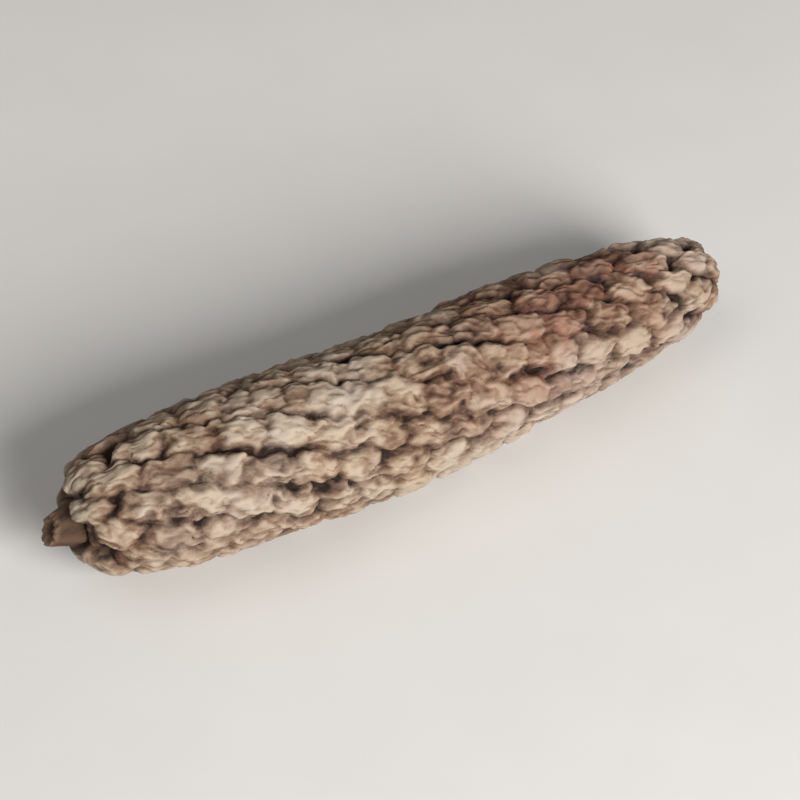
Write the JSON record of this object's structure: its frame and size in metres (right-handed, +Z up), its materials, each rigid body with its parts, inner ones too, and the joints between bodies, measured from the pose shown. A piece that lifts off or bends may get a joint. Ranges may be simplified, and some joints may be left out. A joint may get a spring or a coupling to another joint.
{
  "type": "long pepper",
  "caption": "Dried long pepper: a slim, slightly bowed fruit spike covered in small round fruitlets set in spirals, blunt at the stalk end, tapered at the tip, with a short broken stalk.",
  "frame": {"origin": "middle of the pepper's outline seen from above, on the surface that it lies on", "axes": "+X along the spike from the stalk end to the tip, +Z up, and the spike bows out towards -Y"},
  "size_m": [0.0389, 0.0087, 0.0085],
  "materials": {
    "fruit_spike": "dry, rough and dusty",
    "stalk": "dry and fibrous"
  },
  "bodies": {
    "root": {"fruit_spike": "fruit_spike", "stalk": "stalk"}
  },
  "joints": []
}
